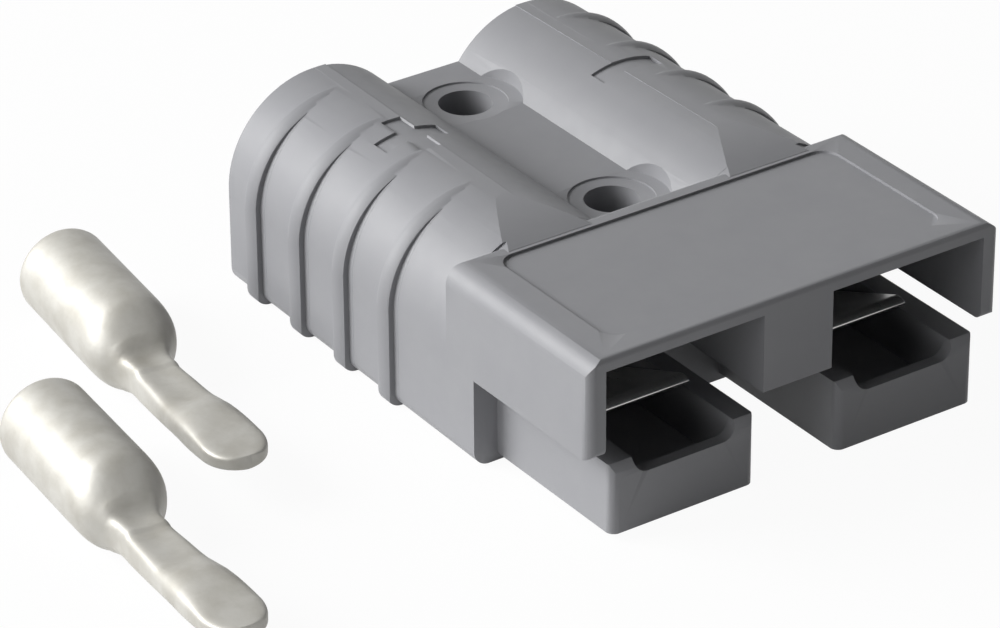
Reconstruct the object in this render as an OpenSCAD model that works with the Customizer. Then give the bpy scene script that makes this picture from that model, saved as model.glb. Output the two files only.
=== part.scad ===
// Genderless two-pole power connector: one moulded housing, a leaf spring in each pole and two crimp contacts.
// Millimetres. X runs across the poles, +Y points to the cable end, -Y to the mating face, Z is up.
// The origin is midway between the two mounting holes, on the underside.

/* [Poles] */
// Distance between the two pole centres
pole_spacing = 19.7; // [19:0.1:22]
// Outside diameter of the round barrel over each pole
barrel_diameter = 16; // [15:0.1:18]
// Flat side stands this far outside the barrel at the shoulder
side_margin = 0.4; // [0.1:0.05:1]
// Inward draft of each side between the shoulder and the cable end
side_draft = 0.53; // [0:0.01:1]
// Radius along the lower outer edges
bottom_round = 1.3; // [0.5:0.1:2.5]
// Height of the flat web between the barrels
web_height = 12.7; // [11:0.1:14]
// Diameter of the round cable entry
entry_diameter = 11.4; // [9:0.1:12.4]
// Depth of the cable entry
entry_depth = 23.5; // [20:0.1:25]
// Chamfer round the mouth of the cable entry
entry_chamfer = 0.5; // [0.2:0.05:1]

/* [Lengths] */
// Overall length, from the cable end to the mating face
housing_length = 47.5; // [45:0.1:54]
// Distance from the cable end to the midpoint of the mounting holes
rear_reach = 15.45; // [14:0.05:17]
// Length of the hood over the mating face
hood_length = 17.4; // [16:0.1:20]
// How far a mating housing slides in
engagement = 14; // [12:0.1:15]

/* [Hood] */
// Height of the top face
hood_height = 15.1; // [14:0.1:15.8]
// Thickness of the top plate
hood_plate = 1.06; // [0.8:0.02:1.8]
// Thickness of the side walls
hood_wall = 1.53; // [1.2:0.01:2]
// Rounding along the two upper side edges
hood_side_round = 1.7; // [0.8:0.1:2.5]
// Rounding along the front and rear upper edges
hood_front_round = 0.5; // [0.2:0.05:0.9]
// Rounding of the upright front corners
hood_corner_round = 0.8; // [0.3:0.05:1.2]
// Lower front corner rounding of the side walls
hood_lower_round = 0.7; // [0.3:0.05:1.5]
// Width of the centre post under the top plate
post_width = 6.1; // [5:0.1:7]
// Gap between the lower end of the post and the mating plane
post_lift = 0.6; // [0.3:0.05:1.5]

/* [Mating] */
// Height of the plane in which the two contacts touch
mating_height = 7.2; // [7:0.05:7.6]
// Gap to the post of a mating housing
post_clearance = 0.62; // [0.3:0.01:1]
// Gap to the side walls of a mating housing
side_clearance = 0.5; // [0.3:0.01:0.8]
// Gap left beyond a fully mated housing
end_clearance = 0.5; // [0.2:0.05:1]

/* [Trays] */
// Step from the underside of the housing up to the trays
tray_lift = 0.6; // [0.4:0.05:1]
// Thickness of the tray floor
tray_floor = 1.5; // [1.1:0.05:2]
// Thickness of the tray wall beside the post
tray_inner_wall = 1.7; // [1.2:0.05:2.2]
// Thickness of the tray wall beside the hood wall
tray_outer_wall = 2; // [1.2:0.05:2.4]
// Thickness of the front lip
lip_wall = 1; // [0.8:0.05:1.5]
// Height of the front lip above the underside of the housing
lip_height = 4.9; // [3.5:0.1:5.5]
// Drop of the tray rim below the mating plane at the shoulder
rim_gap = 0.06; // [0.02:0.01:0.3]
// Further drop of the rim towards the front
rim_drop = 0.3; // [0.1:0.05:0.6]
// Distance from the front over which the rim drops
rim_drop_length = 9.4; // [7:0.1:12]
// Radius of the upper front corners of the tray walls
tray_nose_round = 1.8; // [1:0.1:2.4]
// Rounding of the upright front corners
tray_corner_round = 0.7; // [0.3:0.05:1.2]
// Concave radius where the lip meets the tray walls
lip_fillet = 1.2; // [0.6:0.1:1.8]
// Top of the passage from the cable entry to the tray, above the mating plane
passage_headroom = 2.4; // [2:0.1:4]

/* [Mounting holes] */
// Distance between the two mounting holes
hole_spacing = 19.05; // [18:0.05:20]
// Diameter of each mounting hole
hole_diameter = 4.2; // [3.6:0.1:4.8]
// Diameter of the flat seat round each hole
seat_diameter = 6.6; // [5.6:0.1:7.2]
// Depth of that seat
seat_depth = 0.15; // [0.05:0.05:0.4]
// Diameter of the clearance for a screw head above the web
head_diameter = 8.8; // [7.6:0.1:9.2]

/* [Finger ribs] */
// Ribs on each side
rib_count = 4; // [2:1:4]
// Distance from one rib to the next
rib_pitch = 6.13; // [4:0.01:6.4]
// Distance from the cable end to the first rib
rib_start = 3.45; // [2:0.05:4]
// Length of each rib along the side
rib_width = 1.75; // [1:0.05:2.5]
// Height of each rib
rib_height = 0.7; // [0.3:0.05:1.2]

/* [Panel and polarity marks] */
// Width of the sunk bare panel on the hood
panel_width = 29.8; // [24:0.1:31]
// Length of the panel
panel_length = 14; // [10:0.1:14.6]
// Distance from the rear edge of the hood to the panel
panel_margin = 1.3; // [0.8:0.1:2]
// Corner radius of the panel
panel_round = 1.5; // [0.5:0.1:3]
// Depth of the panel and of the polarity marks
mark_depth = 0.2; // [0.1:0.05:0.4]
// Length of each stroke of the polarity marks
mark_length = 5.5; // [4:0.1:6]
// Width of each stroke
mark_width = 1.7; // [1:0.1:2]
// Distance from the mounting hole midpoint to the marks
mark_position = 2.2; // [0:0.1:4]

/* [Springs] */
// Thickness of the spring strip
spring_thickness = 0.45; // [0.3:0.05:0.6]
// Side gap between a spring and the tray walls
spring_side_gap = 0.2; // [0.1:0.05:0.4]
// End gap of the spring foot in its floor pocket
foot_end_gap = 0.15; // [0.05:0.05:0.3]
// Length of the flat foot
foot_length = 3.5; // [2.5:0.1:4]
// Upward slope of the free arm in degrees
arm_slope = 22; // [20:0.5:27]
// Inside radius of the bend above the foot
heel_radius = 3; // [2:0.1:4]
// Outside radius of the rolled nose
nose_radius = 1.2; // [0.9:0.05:1.5]
// Downward turn of the nose in degrees
nose_turn = 60; // [40:1:80]
// Top of the relaxed nose above the mating plane
nose_lift = 0.2; // [0:0.05:0.5]
// Distance from the shoulder to the crest of the nose
nose_reach = 8; // [6.5:0.1:8.4]

/* [Contacts] */
// Outside diameter of the crimp barrel
crimp_diameter = 7.2; // [6.8:0.1:7.6]
// Diameter of the crimp bore
crimp_bore = 5.7; // [5:0.1:6]
// Depth of the crimp bore
crimp_bore_depth = 10.5; // [8:0.1:11]
// Length of the barrel up to its rounded front
crimp_length = 12.9; // [12:0.1:14]
// Overall length of a contact
contact_length = 32.4; // [31:0.1:34]
// Height of the flattened tongue above the bottom of the barrel
tongue_top = 4.2; // [3.8:0.1:5]
// Width of the tongue at its neck
neck_width = 3.2; // [2.8:0.1:3.8]
// Distance from the cable end to the narrowest point of the neck
neck_position = 15.4; // [15:0.1:16.5]
// Width of the tongue just in front of the neck
tongue_width = 3.5; // [3.3:0.1:4.1]
// Rise of the underside at the neck
neck_lift = 1; // [0.6:0.1:1.4]
// Rise of the underside where the pad starts
pad_lift = 1.85; // [1.4:0.05:2.2]
// Width of the contact pad
pad_width = 4.9; // [4.2:0.1:5.4]
// Length of the contact pad
pad_length = 8.6; // [7:0.1:10]
// Height of the pad above the tongue
pad_rise = 0.45; // [0.2:0.05:0.8]
// Radius of the two corners at the tip
tip_round = 2.3; // [1:0.1:2.4]
// Thickness of the pad at its tip
tip_thickness = 1.2; // [0.8:0.1:1.6]
// Concave radius between barrel and neck, seen from above
neck_fillet = 3; // [2:0.1:4]
// Rounding of the barrel where it meets the tongue
crown_round = 1.5; // [0.8:0.1:2]
// Concave radius at the foot of that rounding
root_fillet = 1.2; // [0.6:0.1:1.6]
// Cable-end positions of the two loose contacts beside the housing
first_contact = [-30.6, 18.7];
// Second loose contact
second_contact = [-43.1, 0.1];
// Turn of the first contact about the vertical in degrees
first_turn = 6.7; // [0:0.1:20]
// Turn of the second contact in degrees
second_turn = 5.5; // [0:0.1:20]

/* [Parts] */

/* [Hidden] */
$fn = 96;
// Cutters run this far past the faces they cut
over = 1;
// Straight steps along each bend of a spring
bend_steps = 8;
moulding_grey = [0.52, 0.53, 0.55];
spring_steel = [0.75, 0.75, 0.74];
silver_plate = [0.82, 0.81, 0.78];

pole_x = pole_spacing / 2;
barrel_radius = barrel_diameter / 2;
half_width = pole_x + barrel_radius + side_margin;
entry_radius = entry_diameter / 2;

// Places along the housing
rear_y = rear_reach;
front_y = rear_reach - housing_length;
shoulder_y = front_y + engagement;
hood_rear_y = front_y + hood_length;
cavity_back_y = shoulder_y + end_clearance;
entry_end_y = rear_y - entry_depth;
flank_length = rear_y - shoulder_y;
draft_angle = atan(side_draft / flank_length);

// Trays and passage
post_half = post_width / 2;
tray_inner_x = post_half + post_clearance;
tray_outer_x = half_width - hood_wall - side_clearance;
chamber_inner_x = tray_inner_x + tray_inner_wall;
chamber_outer_x = tray_outer_x - tray_outer_wall;
chamber_width = chamber_outer_x - chamber_inner_x;
chamber_x = (chamber_outer_x + chamber_inner_x) / 2;
floor_z = tray_lift + tray_floor;
rim_z = mating_height - rim_gap;
passage_top = mating_height + passage_headroom;
cavity_top = hood_height - hood_plate;

// Springs: the foot lies in a pocket one strip deep, the arm rises to the nose
foot_z = floor_z - spring_thickness;
heel_outer = heel_radius + spring_thickness;
nose_inner = nose_radius - spring_thickness;
bend_rise = (heel_radius + nose_radius) * (1 - cos(arm_slope));
arm_rise = mating_height + nose_lift - floor_z - bend_rise;
arm_length = arm_rise / sin(arm_slope);
arm_run = arm_length * cos(arm_slope) + (heel_radius + nose_radius) * sin(arm_slope);
nose_y = shoulder_y - nose_reach;
foot_front_y = nose_y + arm_run;
foot_rear_y = foot_front_y + foot_length;
heel_reach = heel_outer * sin(arm_slope) + spring_thickness / tan(arm_slope);
pocket_front_y = foot_front_y - heel_reach - foot_end_gap;

// Contacts
crimp_radius = crimp_diameter / 2;
pad_start = contact_length - pad_length;
pad_half = pad_width / 2;
neck_half = neck_width / 2;
tongue_half = tongue_width / 2;
pad_top = tongue_top + pad_rise;
tip_bottom = pad_top - tip_thickness;

// Extrudes a profile drawn in X and Z along Y, from y0 up to y1.
module along_y(y0, y1) {
    translate([0, y1, 0])
        rotate([90, 0, 0])
            linear_extrude(y1 - y0)
                children();
}

// Extrudes a profile drawn in Y and Z along X, from x0 up to x1.
module along_x(x0, x1) {
    translate([x0, 0, 0])
        rotate([90, 0, 90])
            linear_extrude(x1 - x0)
                children();
}

// Extrudes a plan drawn in X and Y, from z0 up to z1.
module along_z(z0, z1) {
    translate([0, 0, z0])
        linear_extrude(z1 - z0)
            children();
}

module both_sides() {
    children();
    mirror([1, 0, 0])
        children();
}

module rectangle(x0, x1, y0, y1) {
    translate([x0, y0])
        square([x1 - x0, y1 - y0]);
}

// Rectangle with all four corners rounded.
module round_rectangle(x0, x1, y0, y1, r) {
    rectangle(x0 + r, x1 - r, y0, y1);
    rectangle(x0, x1, y0 + r, y1 - r);
    for (x = [x0 + r, x1 - r])
        for (y = [y0 + r, y1 - r])
            translate([x, y])
                circle(r);
}

// Outer half of one barrel with its flat lower side, x = 0 being the side face.
module flank_section() {
    lap = side_margin + side_draft;
    intersection() {
        translate([-barrel_radius, barrel_radius])
            circle(barrel_radius);
        rectangle(-barrel_radius, 0, 0, barrel_diameter);
    }
    rectangle(-barrel_radius - lap, -barrel_radius, 0, barrel_diameter);
    rectangle(-barrel_radius, 0, bottom_round, barrel_radius);
    rectangle(-barrel_radius, -bottom_round, 0, barrel_radius);
    translate([-bottom_round, bottom_round])
        circle(bottom_round);
}

// Inner half of one barrel and the web up to the middle.
module core_section() {
    intersection() {
        translate([pole_x, barrel_radius])
            circle(barrel_radius);
        rectangle(pole_x - barrel_radius, pole_x, 0, barrel_diameter);
    }
    rectangle(0, pole_x, 0, web_height);
}

// Rim profile of one finger rib: full height at its rear edge, rounded down to nothing at the front.
module rib_profile(radius) {
    crest = (rib_width * rib_width + rib_height * rib_height) / (2 * rib_height);
    intersection() {
        rectangle(0, radius, -rib_width, 0);
        union() {
            translate([radius - crest, 0])
                circle(crest);
            rectangle(0, radius - crest, -rib_width, 0);
        }
    }
}

// One rib: an eccentric disc over the barrel and a raised strip down the flat side.
module finger_rib() {
    translate([rib_height - barrel_radius, 0, barrel_radius])
        rotate([-90, 0, 0])
            rotate_extrude()
                rib_profile(barrel_radius);
    intersection() {
        translate([rib_height - barrel_radius, 0, 0])
            along_z(0, barrel_radius)
                rib_profile(barrel_radius);
        translate([rib_height, 0, 0])
            along_y(-rib_width, 0)
                flank_section();
    }
}

// Tapered side of the body with its ribs, in a frame turned by the draft angle.
module flank() {
    translate([half_width, shoulder_y, 0])
        rotate([0, 0, draft_angle]) {
            along_y(-over, flank_length + over)
                flank_section();
            for (i = [0 : rib_count - 1])
                translate([0, flank_length - rib_start - i * rib_pitch, 0])
                    finger_rib();
        }
}

// Rear body: two barrels with a flat web between them.
module rear_body() {
    intersection() {
        both_sides() {
            flank();
            along_y(shoulder_y, rear_y)
                core_section();
        }
        along_x(-half_width - over, half_width + over) {
            rectangle(shoulder_y, hood_rear_y, 0, hood_height - hood_front_round);
            rectangle(hood_rear_y, rear_y, 0, barrel_diameter);
        }
    }
}

// Removes a square corner so that a rounding of the given radius is left; the corner is at the origin.
module corner_cut(r) {
    difference() {
        rectangle(-over, r, -over, r);
        translate([r, r])
            circle(r);
    }
}

// Hood: its outlines seen from the front, from above and from the side, crossed with each other.
module hood_block() {
    intersection() {
        along_y(front_y, hood_rear_y)
            round_rectangle(-half_width, half_width, 0, hood_height, hood_side_round);
        along_z(mating_height, hood_height) {
            round_rectangle(-half_width, half_width, front_y, hood_rear_y, hood_corner_round);
            rectangle(-half_width, half_width, shoulder_y, hood_rear_y);
        }
        along_x(-half_width, half_width)
            difference() {
                round_rectangle(front_y, hood_rear_y, 0, hood_height, hood_front_round);
                translate([front_y, mating_height])
                    corner_cut(hood_lower_round);
            }
    }
}

// Space under the hood for a mating housing, open at the front and below, with the centre post left standing.
module hood_cavity() {
    inner_x = half_width - hood_wall;
    both_sides()
        translate([0, front_y - over, 0])
            cube_to(post_half, inner_x, cavity_back_y - front_y + over, mating_height - over, cavity_top);
    translate([0, front_y - over, 0])
        cube_to(-inner_x, inner_x, cavity_back_y - front_y + over, mating_height - over, mating_height + post_lift);
}

// Box from x0 to x1 and z0 to z1, running a length along +Y.
module cube_to(x0, x1, length, z0, z1) {
    translate([x0, 0, z0])
        cube([x1 - x0, length, z1 - z0]);
}

// One open tray in front of the shoulder, drawn for the pole on +X.
module tray() {
    nose_z = rim_z - rim_drop;
    intersection() {
        along_x(tray_inner_x, tray_outer_x)
            difference() {
                polygon([
                    [shoulder_y + over, tray_lift],
                    [front_y, tray_lift],
                    [front_y, nose_z],
                    [front_y + tray_nose_round, nose_z],
                    [front_y + rim_drop_length, rim_z],
                    [shoulder_y + over, rim_z]
                ]);
                translate([front_y, nose_z])
                    mirror([0, 1])
                        corner_cut(tray_nose_round);
            }
        along_z(tray_lift, rim_z) {
            round_rectangle(tray_inner_x, tray_outer_x, front_y, shoulder_y, tray_corner_round);
            rectangle(tray_inner_x, tray_outer_x, shoulder_y - over, shoulder_y + over);
        }
    }
}

// Hollow of one pole: tray, notch over the lip, passage, cable entry and the pocket for the spring foot.
module pole_hollow() {
    along_x(chamber_inner_x, chamber_outer_x) {
        rectangle(front_y + lip_wall, cavity_back_y, floor_z, mating_height + over);
        rectangle(cavity_back_y - over, entry_end_y + over, floor_z, passage_top);
        rectangle(pocket_front_y, foot_rear_y + foot_end_gap, foot_z, floor_z + over);
    }
    along_y(front_y - over, front_y + lip_wall + over)
        round_rectangle(chamber_inner_x, chamber_outer_x, lip_height, cavity_top - over, lip_fillet);
    translate([pole_x, entry_end_y, barrel_radius])
        rotate([-90, 0, 0])
            cylinder(h = entry_depth + over, r = entry_radius);
    translate([pole_x, rear_y - entry_chamfer, barrel_radius])
        rotate([-90, 0, 0])
            cylinder(h = entry_chamfer, r1 = entry_radius, r2 = entry_radius + entry_chamfer);
}

// Mounting hole with its flat seat and the room for a screw head between the barrels.
module mounting_hole() {
    translate([0, 0, -over])
        cylinder(h = web_height + 2 * over, r = hole_diameter / 2);
    translate([0, 0, web_height - seat_depth])
        cylinder(h = hood_height, r = seat_diameter / 2);
    translate([0, 0, web_height])
        cylinder(h = hood_height, r = head_diameter / 2);
}

// Sunk panel, left bare, on top of the hood.
module panel() {
    panel_rear = hood_rear_y - panel_margin;
    along_z(hood_height - mark_depth, hood_height + over)
        round_rectangle(-panel_width / 2, panel_width / 2, panel_rear - panel_length, panel_rear, panel_round);
}

// One stroke of a polarity mark, cut to an even depth into the crown of a barrel.
module stroke(length_x, length_y) {
    difference() {
        translate([-length_x / 2, mark_position - length_y / 2, barrel_radius])
            cube([length_x, length_y, barrel_radius + over]);
        translate([0, mark_position - length_y, barrel_radius])
            rotate([-90, 0, 0])
                cylinder(h = 2 * length_y, r = barrel_radius - mark_depth);
    }
}

module housing() {
    color(moulding_grey)
        difference() {
            union() {
                rear_body();
                hood_block();
                both_sides()
                    tray();
            }
            hood_cavity();
            both_sides()
                pole_hollow();
            for (side = [-1, 1])
                translate([0, side * hole_spacing / 2, 0])
                    mounting_hole();
            panel();
            translate([-pole_x, 0, 0]) {
                stroke(mark_length, mark_width);
                stroke(mark_width, mark_length);
            }
            translate([pole_x, 0, 0])
                stroke(mark_length, mark_width);
        }
}

// Points along an arc, from one angle to another.
function arc(centre, r, start, stop) = [
    for (i = [0 : bend_steps])
        let (a = start + (stop - start) * i / bend_steps)
            centre + r * [cos(a), sin(a)]
];

// Side outline of a spring, running forward along x from the front end of its foot.
module spring_outline() {
    heel = [0, heel_outer];
    nose = [arm_run, heel_outer + arm_length * sin(arm_slope) - (heel_radius + nose_radius) * cos(arm_slope)];
    polygon(concat(
        [[-foot_length, spring_thickness], [-foot_length, 0]],
        arc(heel, heel_outer, -90, arm_slope - 90),
        arc(nose, nose_inner, 90 + arm_slope, 90 + arm_slope - nose_turn),
        arc(nose, nose_radius, 90 + arm_slope - nose_turn, 90 + arm_slope),
        arc(heel, heel_radius, arm_slope - 90, -90)
    ));
}

// Leaf spring of the pole on +X.
module spring() {
    color(spring_steel)
        along_x(chamber_inner_x + spring_side_gap, chamber_outer_x - spring_side_gap)
            translate([foot_front_y, foot_z])
                mirror([1, 0])
                    spring_outline();
}

module spring_right() {
    spring();
}

module spring_left() {
    mirror([1, 0, 0])
        spring();
}

// Side outline of a contact, running forward along x from its cable end.
module contact_side() {
    rectangle(0, crimp_length - crown_round, -over, crimp_diameter + over);
    rectangle(0, crimp_length, -over, crimp_diameter - crown_round);
    translate([crimp_length - crown_round, crimp_diameter - crown_round])
        circle(crown_round);
    difference() {
        rectangle(crimp_length, crimp_length + root_fillet, neck_lift, tongue_top + root_fillet);
        translate([crimp_length + root_fillet, tongue_top + root_fillet])
            circle(root_fillet);
    }
    polygon([
        [crimp_length - crown_round, 0],
        [crimp_length, 0],
        [neck_position, neck_lift],
        [pad_start, pad_lift],
        [contact_length, tip_bottom],
        [contact_length, pad_top],
        [pad_start + pad_rise, pad_top],
        [pad_start, tongue_top],
        [crimp_length - crown_round, tongue_top]
    ]);
}

// Contact seen from above, running forward along y from its cable end.
module contact_plan() {
    difference() {
        polygon([
            [-crimp_radius - over, -over],
            [-crimp_radius - over, neck_position],
            [-tongue_half, neck_position],
            [-pad_half, pad_start + pad_rise],
            [-pad_half, contact_length + over],
            [pad_half, contact_length + over],
            [pad_half, pad_start + pad_rise],
            [tongue_half, neck_position],
            [crimp_radius + over, neck_position],
            [crimp_radius + over, -over]
        ]);
        for (side = [0, 1])
            mirror([side, 0]) {
                translate([neck_half + neck_fillet, neck_position])
                    circle(neck_fillet);
                translate([pad_half, contact_length])
                    rotate(180)
                        corner_cut(tip_round);
            }
    }
}

// Crimp contact lying on its barrel, its tip towards -Y.
module contact() {
    color(silver_plate)
        difference() {
            intersection() {
                translate([0, 0, crimp_radius])
                    rotate([90, 0, 0])
                        cylinder(h = contact_length, r = crimp_radius);
                along_x(-crimp_radius - over, crimp_radius + over)
                    mirror([1, 0])
                        contact_side();
                along_z(-over, crimp_diameter + over)
                    mirror([0, 1])
                        contact_plan();
            }
            translate([0, over, crimp_radius])
                rotate([90, 0, 0])
                    cylinder(h = crimp_bore_depth + over, r = crimp_bore / 2);
        }
}

module contact_first() {
    translate(first_contact)
        rotate([0, 0, -first_turn])
            contact();
}

module contact_second() {
    translate(second_contact)
        rotate([0, 0, -second_turn])
            contact();
}

housing();
spring_left();
spring_right();
contact_first();
contact_second();
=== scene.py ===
"""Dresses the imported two-pole power connector.

A moulded grey housing with a leaf spring in each pole, and two silver-plated crimp contacts beside it.
"""
import math

import bmesh
import bpy
from mathutils import Matrix, Vector


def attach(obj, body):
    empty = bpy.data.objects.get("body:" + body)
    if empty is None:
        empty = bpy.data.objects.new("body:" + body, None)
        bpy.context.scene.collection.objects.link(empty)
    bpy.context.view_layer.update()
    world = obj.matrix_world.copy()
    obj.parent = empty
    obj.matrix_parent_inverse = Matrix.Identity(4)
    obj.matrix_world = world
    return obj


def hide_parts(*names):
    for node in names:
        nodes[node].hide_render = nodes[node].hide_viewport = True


MM = 0.001
BODY = "root"

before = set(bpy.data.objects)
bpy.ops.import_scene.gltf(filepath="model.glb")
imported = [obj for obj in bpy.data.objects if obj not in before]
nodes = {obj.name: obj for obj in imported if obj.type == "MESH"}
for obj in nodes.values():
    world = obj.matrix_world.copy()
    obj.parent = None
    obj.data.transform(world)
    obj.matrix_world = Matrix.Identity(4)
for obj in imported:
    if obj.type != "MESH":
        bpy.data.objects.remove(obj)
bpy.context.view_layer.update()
scene = bpy.context.scene


# Camera

AZIMUTH = math.radians(34.516)
ELEVATION = math.radians(29.367)
ROLL = math.radians(-0.416)
CAMERA_PLACE = Vector((-198.15, -283.04, 192.91)) * MM
FOCAL_LENGTH_MM = 187.37
SENSOR_MM = 36.0


def add_camera():
    """Camera at the fitted place, turned by azimuth, elevation and roll."""
    forward = Vector((math.sin(AZIMUTH) * math.cos(ELEVATION),
                      math.cos(AZIMUTH) * math.cos(ELEVATION), -math.sin(ELEVATION)))
    level_right = Vector((math.cos(AZIMUTH), -math.sin(AZIMUTH), 0.0))
    level_up = level_right.cross(forward)
    right = level_right * math.cos(ROLL) + level_up * math.sin(ROLL)
    up = level_up * math.cos(ROLL) - level_right * math.sin(ROLL)
    data = bpy.data.cameras.new("camera")
    data.lens = FOCAL_LENGTH_MM
    data.sensor_width = SENSOR_MM
    data.clip_start = 0.01
    data.clip_end = 10.0
    camera = bpy.data.objects.new("camera", data)
    turn = Matrix((right, up, -forward)).transposed().to_4x4()
    camera.matrix_world = Matrix.Translation(CAMERA_PLACE) @ turn
    scene.collection.objects.link(camera)
    scene.camera = camera


add_camera()


# Materials

def new_material(name):
    material = bpy.data.materials.new(name)
    material.use_nodes = True
    tree = material.node_tree
    shader = tree.nodes["Principled BSDF"]
    return material, tree, shader


def add_noise(tree, scale, detail=4.0, roughness=0.5, stretch=(1, 1, 1)):
    """Noise in object space; scale is in features per metre."""
    coordinates = tree.nodes.new("ShaderNodeTexCoord")
    mapping = tree.nodes.new("ShaderNodeMapping")
    mapping.inputs["Scale"].default_value = stretch
    noise = tree.nodes.new("ShaderNodeTexNoise")
    noise.inputs["Scale"].default_value = scale
    noise.inputs["Detail"].default_value = detail
    noise.inputs["Roughness"].default_value = roughness
    tree.links.new(coordinates.outputs["Object"], mapping.inputs["Vector"])
    tree.links.new(mapping.outputs["Vector"], noise.inputs["Vector"])
    return noise


def add_ramp(tree, source, stops):
    """Colour ramp from a grey value; stops are (position, colour) pairs."""
    ramp = tree.nodes.new("ShaderNodeValToRGB")
    elements = ramp.color_ramp.elements
    while len(elements) < len(stops):
        elements.new(0.5)
    for element, (position, colour) in zip(elements, stops):
        element.position = position
        element.color = (*colour, 1.0)
    tree.links.new(source, ramp.inputs["Fac"])
    return ramp


def add_range(tree, source, low, high):
    """Maps a 0 to 1 value onto low to high."""
    remap = tree.nodes.new("ShaderNodeMapRange")
    remap.inputs["To Min"].default_value = low
    remap.inputs["To Max"].default_value = high
    tree.links.new(source, remap.inputs["Value"])
    return remap.outputs["Result"]


def add_bump(tree, shader, heights, distance_mm):
    """Chains one bump per (height output, strength) pair."""
    previous = None
    for height, strength in heights:
        bump = tree.nodes.new("ShaderNodeBump")
        bump.inputs["Strength"].default_value = strength
        bump.inputs["Distance"].default_value = distance_mm * MM
        tree.links.new(height, bump.inputs["Height"])
        if previous is not None:
            tree.links.new(previous, bump.inputs["Normal"])
        previous = bump.outputs["Normal"]
    tree.links.new(previous, shader.inputs["Normal"])


def housing_material():
    material, tree, shader = new_material("moulded_grey")
    mottle = add_noise(tree, 260.0, detail=3.0)
    grain = add_noise(tree, 5200.0, detail=2.0)
    flow = add_noise(tree, 900.0, detail=3.0)
    colour = add_ramp(tree, mottle.outputs["Fac"],
                      [(0.3, (0.252, 0.254, 0.268)), (0.7, (0.264, 0.266, 0.279))])
    tree.links.new(colour.outputs["Color"], shader.inputs["Base Color"])
    tree.links.new(add_range(tree, flow.outputs["Fac"], 0.42, 0.56), shader.inputs["Roughness"])
    shader.inputs["Specular IOR Level"].default_value = 0.4
    add_bump(tree, shader, [(grain.outputs["Fac"], 0.12), (flow.outputs["Fac"], 0.05)], 0.03)
    return material


def contact_material():
    material, tree, shader = new_material("silver_plate")
    patches = add_noise(tree, 420.0, detail=4.0)
    grain = add_noise(tree, 2600.0, detail=3.0)
    colour = add_ramp(tree, patches.outputs["Fac"],
                      [(0.3, (0.40, 0.385, 0.345)), (0.65, (0.50, 0.49, 0.455))])
    tree.links.new(colour.outputs["Color"], shader.inputs["Base Color"])
    shader.inputs["Metallic"].default_value = 0.45
    tree.links.new(add_range(tree, grain.outputs["Fac"], 0.40, 0.60), shader.inputs["Roughness"])
    add_bump(tree, shader, [(patches.outputs["Fac"], 0.2), (grain.outputs["Fac"], 0.25)], 0.05)
    return material


def spring_material():
    material, tree, shader = new_material("spring_steel")
    streaks = add_noise(tree, 1500.0, detail=3.0, stretch=(6.0, 0.3, 0.3))
    shader.inputs["Base Color"].default_value = (0.56, 0.56, 0.55, 1.0)
    shader.inputs["Metallic"].default_value = 1.0
    tree.links.new(add_range(tree, streaks.outputs["Fac"], 0.22, 0.40), shader.inputs["Roughness"])
    add_bump(tree, shader, [(streaks.outputs["Fac"], 0.15)], 0.02)
    return material


MATERIALS = {
    "housing": housing_material(),
    "spring": spring_material(),
    "contact": contact_material(),
}


def dress(obj, material):
    """Gives every face the one material."""
    obj.data.materials.clear()
    obj.data.materials.append(material)


def round_edges(obj, width_mm, segments=2, angle=32.0):
    """Joins the solid's faces and rounds its sharp edges."""
    weld = obj.modifiers.new("weld", "WELD")
    weld.merge_threshold = 0.002 * MM
    bevel = obj.modifiers.new("bevel", "BEVEL")
    bevel.width = width_mm * MM
    bevel.segments = segments
    bevel.limit_method = "ANGLE"
    bevel.angle_limit = math.radians(angle)
    bevel.use_clamp_overlap = True
    bevel.harden_normals = False
    for polygon in obj.data.polygons:
        polygon.use_smooth = True
    normals = obj.modifiers.new("normals", "WEIGHTED_NORMAL")
    normals.keep_sharp = True



# Housing: crowns eased down into the hood, ribs trimmed to a crisp front

# Millimetres, from the part's own sizes
HALF_WIDTH = 18.25
POLE_X = 9.85
BARREL_RADIUS = 8.0
BARREL_TOP = 16.0
SHOULDER_Y = -18.05
REAR_Y = 15.45
HOOD_REAR_Y = -14.65
HOOD_TOP = 15.1
SIDE_DRAFT = 0.53
BOTTOM_ROUND = 1.3
RIB_START = 3.45
RIB_PITCH = 6.13
RIB_WIDTH = 1.75
RIB_TRIM = 0.6
RIB_COUNT = 4
CROWN_EASE = 6.0
CROWN_LAP = 1.0
# Tools stay this far off the surfaces they follow, and run well past what they cut
SKIN = 0.015
TOOL_REACH = 20.0
TOOL_TOP = 18.0
TOOL_MARGIN = 2.0


def prism(outline, start, stop, place):
    """Corner points and faces of a prism; place turns an outline point and a depth into a point."""
    count = len(outline)
    points = [place(u, v, depth) for depth in (start, stop) for u, v in outline]
    faces = [tuple(range(count)), tuple(reversed(range(count, 2 * count)))]
    faces += [(k, count + k, count + (k + 1) % count, (k + 1) % count) for k in range(count)]
    return points, faces


def solid(name, prisms):
    """Hidden tool body made of several prisms."""
    points, faces = [], []
    for more_points, more_faces in prisms:
        shift = len(points)
        points += more_points
        faces += [tuple(shift + k for k in face) for face in more_faces]
    mesh = bpy.data.meshes.new(name)
    mesh.from_pydata([[value * MM for value in point] for point in points], [], faces)
    tidy = bmesh.new()
    tidy.from_mesh(mesh)
    bmesh.ops.recalc_face_normals(tidy, faces=tidy.faces)
    tidy.to_mesh(mesh)
    tidy.free()
    tool = bpy.data.objects.new(name, mesh)
    scene.collection.objects.link(tool)
    tool.hide_render = True
    return tool


def combine(obj, tool, operation):
    """Joins a tool body to an object, or cuts it away."""
    step = obj.modifiers.new(tool.name, "BOOLEAN")
    step.operation = operation
    step.solver = "EXACT"
    step.object = tool


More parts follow.
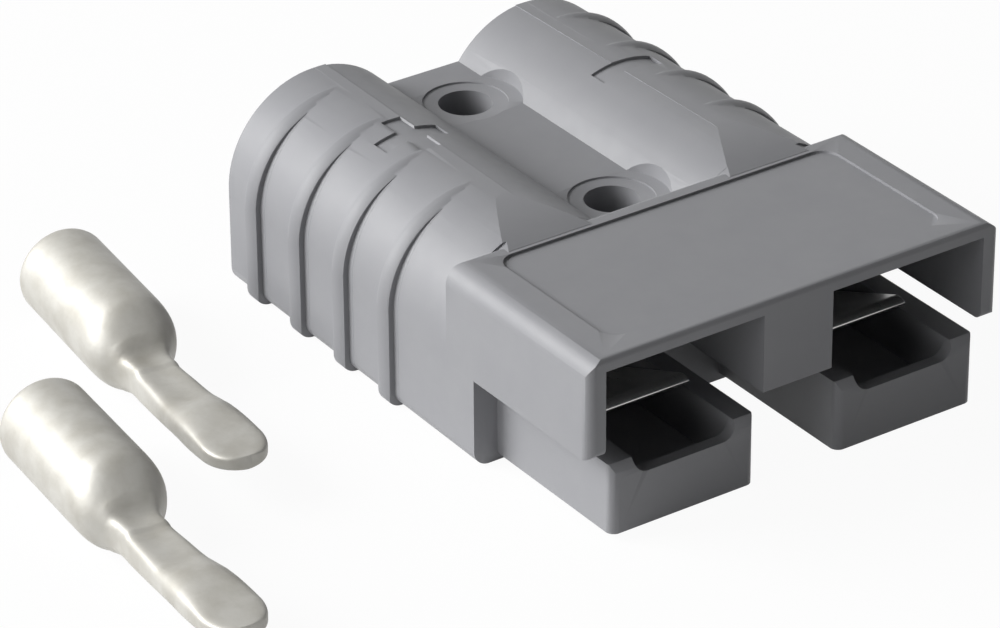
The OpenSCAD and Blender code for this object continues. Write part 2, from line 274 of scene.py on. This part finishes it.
def crown_tools():
    """Curved cut that eases the crowns down to the hood, and crowns carried on over the hood's rear edge."""
    front_y, back_y = HOOD_REAR_Y - CROWN_LAP, HOOD_REAR_Y + CROWN_EASE
    drop = BARREL_TOP - HOOD_TOP
    cut = [(back_y, TOOL_TOP), (front_y, TOOL_TOP)]
    for k in range(15):
        share = 1.0 - k / 14
        cut.append((back_y - share * (back_y - front_y), BARREL_TOP + SKIN - drop * share ** 2))
    under_skin = BARREL_RADIUS - SKIN
    carry = []
    for k in range(25):
        turn = math.radians(54.0 + 72.0 * k / 24)
        carry.append((under_skin * math.cos(turn), BARREL_RADIUS + under_skin * math.sin(turn)))
    cuts = [prism(cut, -TOOL_REACH, TOOL_REACH, lambda u, v, depth: (depth, u, v))]
    fills = [prism(carry, front_y + 0.02, HOOD_REAR_Y + 0.3,
                   lambda u, v, depth, side=side: (side * POLE_X + u, depth, v))
             for side in (-1, 1)]
    return cuts, fills


def rib_cuts():
    """Shells just outside the flanks that take off the front part of every rib."""
    outline = []
    for k in range(25):
        turn = math.radians(90.0 - 90.0 * k / 24)
        outline.append(((BARREL_RADIUS + SKIN) * math.cos(turn) - BARREL_RADIUS,
                        (BARREL_RADIUS + SKIN) * math.sin(turn) + BARREL_RADIUS))
    for k in range(9):
        turn = math.radians(-90.0 * k / 8)
        outline.append(((BOTTOM_ROUND + SKIN) * math.cos(turn) - BOTTOM_ROUND,
                        (BOTTOM_ROUND + SKIN) * math.sin(turn) + BOTTOM_ROUND))
    outline += [(-BOTTOM_ROUND, -TOOL_MARGIN), (TOOL_MARGIN, -TOOL_MARGIN),
                (TOOL_MARGIN, TOOL_TOP), (-BARREL_RADIUS, TOOL_TOP)]
    length = REAR_Y - SHOULDER_Y
    draft = math.atan(SIDE_DRAFT / length)
    cuts = []
    for side in (-1, 1):
        def place(u, v, depth, side=side):
            x = HALF_WIDTH + u * math.cos(draft) - depth * math.sin(draft)
            return (side * x, SHOULDER_Y + u * math.sin(draft) + depth * math.cos(draft), v)
        for i in range(RIB_COUNT):
            foot = length - RIB_START - i * RIB_PITCH - RIB_WIDTH
            cuts.append(prism(outline, foot - 0.1, foot + RIB_TRIM, place))
    return cuts


housing = nodes["housing"]
dress(housing, MATERIALS["housing"])
crown_cuts, crown_fills = crown_tools()
combine(housing, solid("crown_fill", crown_fills), "UNION")
combine(housing, solid("crown_and_rib_cuts", crown_cuts + rib_cuts()), "DIFFERENCE")
round_edges(housing, 0.22)
for name in ("spring_left", "spring_right"):
    dress(nodes[name], MATERIALS["spring"])
    round_edges(nodes[name], 0.08)


# Contacts, drawn from round tube to flat pad in cross-sections

# Millimetres: distance from the cable end, half width, underside, top, squareness, hollow of the top
CONTACT_SECTIONS = [
    (0.25, 3.60, 0.00, 7.20, 2.0, 0.0),
    (10.6, 3.60, 0.00, 7.20, 2.0, 0.0),
    (12.0, 3.57, 0.03, 7.05, 2.0, 0.0),
    (12.8, 3.46, 0.10, 6.65, 2.0, 0.0),
    (13.5, 3.15, 0.25, 6.00, 2.1, 0.0),
    (14.0, 2.75, 0.45, 5.45, 2.2, 0.0),
    (14.35, 2.45, 0.60, 5.10, 2.4, 0.05),
    (14.6, 2.25, 0.70, 4.55, 2.8, 0.25),
    (15.0, 2.02, 0.85, 4.25, 3.2, 0.35),
    (15.7, 1.82, 1.00, 4.15, 3.4, 0.35),
    (16.9, 1.80, 1.10, 4.15, 3.6, 0.30),
    (17.15, 1.82, 1.12, 3.95, 3.6, 0.30),
    (19.5, 1.95, 1.35, 4.05, 3.4, 0.30),
    (22.2, 2.12, 1.65, 4.20, 3.0, 0.20),
    (24.2, 2.34, 1.90, 4.62, 2.5, 0.0),
    (25.3, 2.42, 2.05, 4.80, 2.5, 0.0),
    (27.0, 2.45, 2.35, 4.76, 3.2, 0.0),
    (29.6, 2.45, 2.90, 4.60, 4.4, 0.0),
]
CONTACT_LENGTH = 32.4
TIP_START = 29.6
TIP_ROUND = 2.45
BORE_RADIUS = 2.85
BORE_DEPTH = 10.5
TUBE_RADIUS = 3.6
RING_POINTS = 72
RING_STEP = 0.22


def between(sections, place):
    """Section values at a place, eased through the neighbours on both sides."""
    last = len(sections) - 1
    i = max(k for k in range(last) if sections[k][0] <= place)
    before, here = sections[max(i - 1, 0)], sections[i]
    after, beyond = sections[i + 1], sections[min(i + 2, last)]
    span = after[0] - here[0]
    t = (place - here[0]) / span
    values = []
    for k in range(1, len(here)):
        rate_in = (after[k] - before[k]) / (after[0] - before[0])
        rate_out = (beyond[k] - here[k]) / (beyond[0] - here[0])
        low, high = sorted((here[k], after[k]))
        value = ((2 * t ** 3 - 3 * t ** 2 + 1) * here[k] + (t ** 3 - 2 * t ** 2 + t) * span * rate_in
                 + (3 * t ** 2 - 2 * t ** 3) * after[k] + (t ** 3 - t ** 2) * span * rate_out)
        values.append(min(max(value, low), high))
    return values


def section_ring(place, half, bottom, top, squareness, hollow):
    """One closed cross-section, its top dished by the given hollow."""
    middle, rise = (top + bottom) / 2, (top - bottom) / 2
    ring = []
    for k in range(RING_POINTS):
        angle = math.tau * k / RING_POINTS
        across, up = math.cos(angle), math.sin(angle)
        x = half * math.copysign(abs(across) ** (2 / squareness), across)
        z = rise * math.copysign(abs(up) ** (2 / squareness), up)
        if up > 0:
            z -= hollow * up ** 2 * (1 - (x / half) ** 2)
        ring.append((x, -place, middle + z))
    return ring


def circle_ring(place, radius):
    """One round cross-section about the tube's axis."""
    return section_ring(place, radius, TUBE_RADIUS - radius, TUBE_RADIUS + radius, 2.0, 0.0)


def contact_rings():
    """All rings from the bottom of the bore, out over the rim, and forward to the tip."""
    rings = [circle_ring(BORE_DEPTH, 0.05), circle_ring(BORE_DEPTH, BORE_RADIUS - 0.3),
             circle_ring(BORE_DEPTH - 0.3, BORE_RADIUS), circle_ring(0.3, BORE_RADIUS),
             circle_ring(0.08, BORE_RADIUS + 0.08), circle_ring(0.0, BORE_RADIUS + 0.28),
             circle_ring(0.0, TUBE_RADIUS - 0.2), circle_ring(0.07, TUBE_RADIUS - 0.05)]
    place = CONTACT_SECTIONS[0][0]
    while place < TIP_START:
        rings.append(section_ring(place, *between(CONTACT_SECTIONS, place)))
        place += RING_STEP
    start = CONTACT_SECTIONS[-1]
    reach = CONTACT_LENGTH - TIP_START
    for k in range(15):
        turn = math.radians(86.0) * k / 14
        place = TIP_START + reach * math.sin(turn)
        half = TIP_ROUND * math.cos(turn) ** 0.8
        share = (place - TIP_START) / reach
        bottom, top = start[2] + 0.4 * share, start[3] - 0.2 * share
        rings.append(section_ring(place, half, bottom, top, start[4], 0.0))
    return rings


def build_contact(node_name, place, turn):
    """Smooth contact standing in for the plain one."""
    rings = contact_rings()
    points = [point for ring in rings for point in ring]
    faces = [tuple(reversed(range(RING_POINTS)))]
    for i in range(len(rings) - 1):
        for k in range(RING_POINTS):
            here, there = i * RING_POINTS, (i + 1) * RING_POINTS
            following = (k + 1) % RING_POINTS
            faces.append((here + k, here + following, there + following, there + k))
    faces.append(tuple((len(rings) - 1) * RING_POINTS + k for k in range(RING_POINTS)))
    mesh = bpy.data.meshes.new(node_name + "_smooth")
    mesh.from_pydata([[value * MM for value in point] for point in points], [], faces)
    placing = Matrix.Translation((place[0] * MM, place[1] * MM, 0.0))
    mesh.transform(placing @ Matrix.Rotation(math.radians(turn), 4, "Z"))
    for polygon in mesh.polygons:
        polygon.use_smooth = True
    mesh.update()
    contact = bpy.data.objects.new(node_name + "_smooth", mesh)
    scene.collection.objects.link(contact)
    dress(contact, MATERIALS["contact"])
    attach(contact, BODY)
    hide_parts(node_name)


build_contact("contact_first", (-30.6, 18.7), -6.7)
build_contact("contact_second", (-43.1, 0.1), -5.5)


# Stage and light

# Share of plain white in the floor as the camera sees it; the rest takes the shadow
FLOOR_WHITENESS = 0.95
WORLD_LEVEL = 0.01
LAMP_SIZE = 0.45


def seen_share(tree):
    """One for camera, glossy and transmission rays, zero for all others."""
    path = tree.nodes.new("ShaderNodeLightPath")
    total = path.outputs["Is Camera Ray"]
    for ray in ("Is Glossy Ray", "Is Transmission Ray"):
        larger = tree.nodes.new("ShaderNodeMath")
        larger.operation = "MAXIMUM"
        tree.links.new(total, larger.inputs[0])
        tree.links.new(path.outputs[ray], larger.inputs[1])
        total = larger.outputs[0]
    return total


def add_floor():
    """Pale floor that takes a faint shadow and shows white elsewhere."""
    bpy.ops.mesh.primitive_plane_add(size=6.0, location=(0.0, 0.0, 0.0))
    floor = bpy.context.object
    floor.name = "floor"
    material, tree, shader = new_material("floor")
    shader.inputs["Base Color"].default_value = (0.9, 0.9, 0.9, 1.0)
    shader.inputs["Roughness"].default_value = 0.9
    shader.inputs["Specular IOR Level"].default_value = 0.1
    glow = tree.nodes.new("ShaderNodeEmission")
    glow.inputs["Strength"].default_value = 1.0
    mix = tree.nodes.new("ShaderNodeMixShader")
    share = seen_share(tree)
    soften = tree.nodes.new("ShaderNodeMath")
    soften.operation = "MULTIPLY"
    soften.inputs[1].default_value = FLOOR_WHITENESS
    tree.links.new(share, soften.inputs[0])
    tree.links.new(soften.outputs[0], mix.inputs["Fac"])
    tree.links.new(shader.outputs["BSDF"], mix.inputs[1])
    tree.links.new(glow.outputs["Emission"], mix.inputs[2])
    tree.links.new(mix.outputs["Shader"], tree.nodes["Material Output"].inputs["Surface"])
    floor.data.materials.append(material)


def add_area(name, place, target, size, power):
    """Square area lamp aimed at a point; places are in metres."""
    data = bpy.data.lights.new(name, "AREA")
    data.shape = "SQUARE"
    data.size = size
    data.energy = power
    lamp = bpy.data.objects.new(name, data)
    lamp.location = place
    lamp.rotation_euler = (Vector(target) - Vector(place)).to_track_quat("-Z", "Y").to_euler()
    scene.collection.objects.link(lamp)


def set_world(level):
    """Dim neutral surroundings for light, white for what the camera and reflections see."""
    world = bpy.data.worlds.new("world")
    world.use_nodes = True
    scene.world = world
    tree = world.node_tree
    background = tree.nodes["Background"]
    share = seen_share(tree)
    strength = tree.nodes.new("ShaderNodeMapRange")
    strength.inputs["To Min"].default_value = level
    strength.inputs["To Max"].default_value = 1.0
    tree.links.new(share, strength.inputs["Value"])
    tree.links.new(strength.outputs["Result"], background.inputs["Strength"])
    background.inputs["Color"].default_value = (1.0, 1.0, 1.0, 1.0)


add_floor()
set_world(WORLD_LEVEL)
add_area("key_left_rear", (-0.50, 0.35, 0.35), (0.0, 0.0, 0.0), LAMP_SIZE, 7.1)
add_area("fill_left", (-0.60, -0.05, 0.25), (0.0, 0.0, 0.0), LAMP_SIZE, 1.3)

scene.view_settings.view_transform = "Standard"
